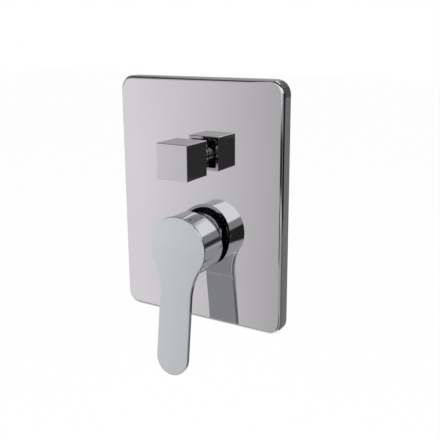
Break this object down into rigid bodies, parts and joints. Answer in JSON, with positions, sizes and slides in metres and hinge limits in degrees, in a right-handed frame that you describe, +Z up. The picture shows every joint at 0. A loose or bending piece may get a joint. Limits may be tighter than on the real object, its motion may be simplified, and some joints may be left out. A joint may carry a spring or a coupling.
{
  "type": "concealed shower mixer with diverter",
  "caption": "Wall-mounted concealed shower mixer: polished rounded plate, single lever for flow and temperature, square diverter knob, and a brass valve body behind the plate.",
  "frame": {"origin": "centre of the trim plate on the finished wall", "axes": "+X to the right seen from the room, +Y into the wall, +Z up"},
  "size_m": [0.134, 0.101, 0.2085],
  "materials": {
    "plate_chrome": "mirror-polished chrome plate",
    "trim_chrome": "polished chrome plate",
    "handle_chrome": "polished chrome plate on a casting",
    "cast_brass": "sand-cast, machined at the ports",
    "turned_brass": "turned",
    "steel": "plain stainless",
    "cartridge_plastic": "moulded",
    "ceramic": "lapped ceramic",
    "black_rubber": "moulded",
    "grey_foam": "closed-cell foam",
    "plug_plastic": "moulded"
  },
  "bodies": {
    "fixed_valve": {"base_seals": "black_rubber", "cap_ring": "black_rubber", "cartridge_base": "cartridge_plastic", "cartridge_housing": "cartridge_plastic", "cartridge_nut": "turned_brass", "diverter_fixed_disc": "ceramic", "diverter_headwork": "turned_brass", "diverter_seal": "black_rubber", "diverter_sleeve": "trim_chrome", "dome_cap": "trim_chrome", "face_plate": "plate_chrome", "fixed_disc": "ceramic", "plate_seal": "grey_foam", "sleeve_ring": "black_rubber", "valve_body": "cast_brass"},
    "turning_cartridge": {"turning_collar": "cartridge_plastic", "pivot_pin": "steel"},
    "lever": {"lever_handle": "handle_chrome", "lever_spindle": "turned_brass", "handle_screw": "steel", "index_plug": "plug_plastic"},
    "sliding_valve": {"disc_carrier": "cartridge_plastic", "sliding_disc": "ceramic"},
    "diverter": {"diverter_knob": "handle_chrome", "knob_screw": "steel", "diverter_spindle": "turned_brass", "spindle_rings": "black_rubber", "diverter_turning_disc": "ceramic"}
  },
  "joints": [
    {"name": "temperature_turn", "type": "hinge", "parent": "fixed_valve", "child": "turning_cartridge", "pos_m": [0, 0, -0.0265], "axis": [0, -1, 0], "range_deg": [-45, 45]},
    {"name": "flow_lift", "type": "hinge", "parent": "turning_cartridge", "child": "lever", "pos_m": [0, -0.003, -0.0265], "axis": [-1, 0, 0], "range_deg": [0, 22]},
    {"name": "disc_slide", "type": "slide", "parent": "turning_cartridge", "child": "sliding_valve", "axis": [0, 0, -1], "range_m": [0, 0.0042]},
    {"name": "diverter_turn", "type": "hinge", "parent": "fixed_valve", "child": "diverter", "pos_m": [0, 0, 0.0355], "axis": [0, -1, 0], "range_deg": [0, 90]}
  ],
  "couplings": [
    {"joint": "disc_slide", "follows": "flow_lift", "m_per_rad": 0.010732}
  ]
}
